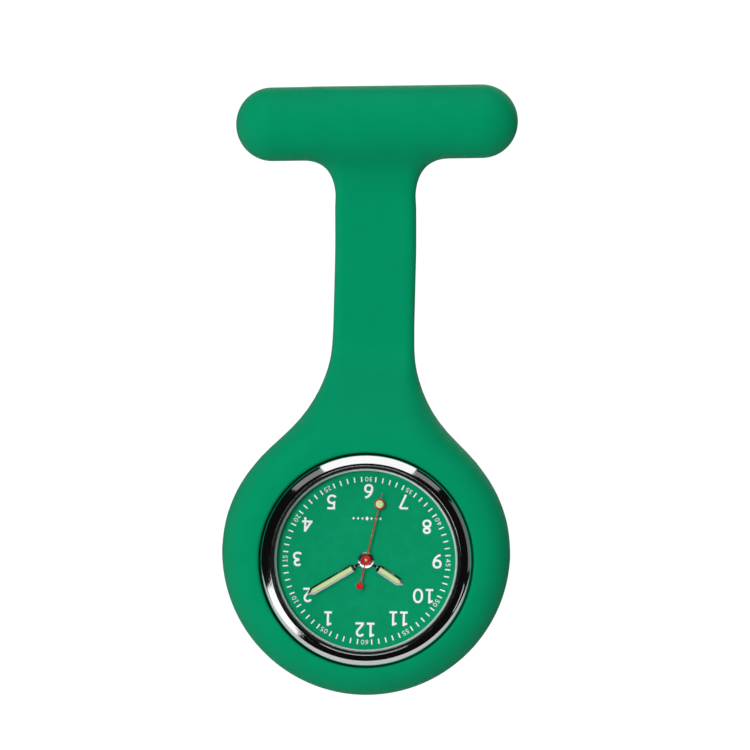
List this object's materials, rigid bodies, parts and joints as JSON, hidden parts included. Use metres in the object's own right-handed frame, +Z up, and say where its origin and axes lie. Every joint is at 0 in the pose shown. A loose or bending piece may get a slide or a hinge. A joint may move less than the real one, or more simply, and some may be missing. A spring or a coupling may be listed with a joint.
{
  "type": "fob watch",
  "caption": "Silicone fob watch: a T-shaped hanger with a bar brooch at the back, and a round pocket holding an upside-down quartz watch head with a polished bezel.",
  "frame": {"origin": "middle of the brooch pin, which holds the watch on the cloth", "axes": "+Z up as worn, +Y into the wearer's chest, -Y out through the dial, +X to the viewer's right"},
  "size_m": [0.041, 0.0138, 0.0872],
  "materials": {
    "silicone": "matte moulded silicone, fine satin bloom",
    "steel": "brushed",
    "chrome": "polished",
    "brass": "satin",
    "glass": "clear mineral crystal",
    "dial_paint": "satin lacquer on a brass blank",
    "lume": "luminous paint, chalky",
    "red_paint": "gloss",
    "gasket": "matte",
    "plastic": "moulded",
    "black_plastic": "moulded",
    "copper": "enamelled copper wire",
    "board": "solder mask",
    "iron": "soft iron, nickel plated"
  },
  "bodies": {
    "hanger": {"sleeve_top": "silicone", "sleeve_flex_web": "silicone", "brooch_plate": "steel", "brooch_hinge_rivet": "steel"},
    "pin": {"brooch_pin_stem": "steel"},
    "catch": {"brooch_safety_catch": "steel"},
    "pocket": {"sleeve_pocket": "silicone", "sleeve_front_lip": "silicone"},
    "head": {"case_body": "chrome", "crystal": "glass", "crystal_gasket": "black_plastic", "rehaut_ring": "chrome", "case_back_gasket": "gasket", "dial": "dial_paint", "crown_tube": "brass", "main_plate": "plastic", "train_bridge": "steel", "bridge_screw_1": "steel", "bridge_screw_2": "steel", "bridge_screw_3": "steel", "stator_screw_1": "steel", "stator_screw_2": "steel", "circuit_screw": "steel", "battery_clamp_screw": "steel", "movement_ring": "plastic", "dial_washer": "brass", "stator": "iron", "coil_core": "iron", "coil_winding": "copper", "circuit_board": "board", "ic_chip": "black_plastic", "quartz_crystal_can": "steel", "battery": "steel", "battery_contact": "brass", "battery_clamp": "steel"},
    "back": {"case_back": "steel"},
    "clutch": {"clutch_wheel": "steel"},
    "crown": {"crown": "chrome", "crown_gasket": "gasket", "winding_stem": "steel"},
    "lever": {"setting_lever": "steel"},
    "seconds": {"seconds_wheel": "brass", "second_hand": "red_paint", "second_hand_lume": "lume"},
    "minutes": {"centre_wheel": "brass", "minute_hand": "chrome", "minute_hand_lume": "lume"},
    "hours": {"hour_wheel": "brass", "hour_hand": "chrome", "hour_hand_lume": "lume"},
    "third": {"third_wheel": "brass"},
    "intermediate": {"intermediate_wheel": "plastic"},
    "rotor": {"rotor": "iron"},
    "minute_work": {"minute_wheel": "brass"},
    "setting": {"setting_wheel": "steel"}
  },
  "joints": [
    {"name": "strap_flex", "type": "hinge", "parent": "hanger", "child": "pocket", "pos_m": [0, -0.00407, -0.021], "axis": [-1, 0, 0], "range_deg": [-25, 90], "stiffness_Nm_per_rad": 0.004, "deforming": ["sleeve_flex_web"]},
    {"name": "pin_open", "type": "hinge", "parent": "hanger", "child": "pin", "pos_m": [-0.013, 0, 0], "axis": [0, 0, 1], "range_deg": [0, 60]},
    {"name": "catch_turn", "type": "hinge", "parent": "hanger", "child": "catch", "pos_m": [0.013, 0, 0], "axis": [1, 0, 0], "range_deg": [0, 90]},
    {"name": "head_push_out", "type": "slide", "parent": "pocket", "child": "head", "axis": [0, -1, 0], "range_m": [0, 0.01], "deforming": ["sleeve_front_lip"]},
    {"name": "back_off", "type": "slide", "parent": "head", "child": "back", "axis": [0, 1, 0], "range_m": [0, 0.008]},
    {"name": "crown_turn", "type": "hinge", "parent": "head", "child": "clutch", "pos_m": [-0.0055, -0.0061, -0.0626], "axis": [1, 0, 0], "continuous": true},
    {"name": "crown_pull", "type": "slide", "parent": "clutch", "child": "crown", "axis": [-1, 0, 0], "range_m": [0, 0.0006]},
    {"name": "lever_swing", "type": "hinge", "parent": "head", "child": "lever", "pos_m": [-0.0073, -0.0061, -0.0603], "axis": [0, 1, 0], "range_deg": [0, 18]},
    {"name": "seconds_turn", "type": "hinge", "parent": "head", "child": "seconds", "pos_m": [0, -0.0058, -0.0626], "axis": [0, 1, 0], "continuous": true},
    {"name": "minutes_turn", "type": "hinge", "parent": "head", "child": "minutes", "pos_m": [0, -0.0058, -0.0626], "axis": [0, 1, 0], "continuous": true},
    {"name": "hours_turn", "type": "hinge", "parent": "head", "child": "hours", "pos_m": [0, -0.0058, -0.0626], "axis": [0, 1, 0], "continuous": true},
    {"name": "third_turn", "type": "hinge", "parent": "head", "child": "third", "pos_m": [0.00208, -0.0058, -0.06508], "axis": [0, 1, 0], "continuous": true},
    {"name": "intermediate_turn", "type": "hinge", "parent": "head", "child": "intermediate", "pos_m": [0.00162, -0.0058, -0.05979], "axis": [0, 1, 0], "continuous": true},
    {"name": "rotor_turn", "type": "hinge", "parent": "head", "child": "rotor", "pos_m": [0.00002, -0.0058, -0.05879], "axis": [0, 1, 0], "continuous": true},
    {"name": "minute_work_turn", "type": "hinge", "parent": "head", "child": "minute_work", "pos_m": [-0.002, -0.0058, -0.0626], "axis": [0, 1, 0], "continuous": true},
    {"name": "setting_turn", "type": "hinge", "parent": "head", "child": "setting", "pos_m": [-0.0042, -0.0058, -0.0626], "axis": [0, 1, 0], "continuous": true}
  ],
  "couplings": [
    {"joint": "minutes_turn", "follows": "seconds_turn", "ratio": 0.016667},
    {"joint": "hours_turn", "follows": "seconds_turn", "ratio": 0.0013889},
    {"joint": "third_turn", "follows": "seconds_turn", "ratio": -0.13333},
    {"joint": "intermediate_turn", "follows": "seconds_turn", "ratio": -5},
    {"joint": "rotor_turn", "follows": "seconds_turn", "ratio": 30},
    {"joint": "minute_work_turn", "follows": "seconds_turn", "ratio": -0.0055556},
    {"joint": "setting_turn", "follows": "seconds_turn", "ratio": 0.011905},
    {"joint": "lever_swing", "follows": "crown_pull", "rad_per_m": 520}
  ]
}
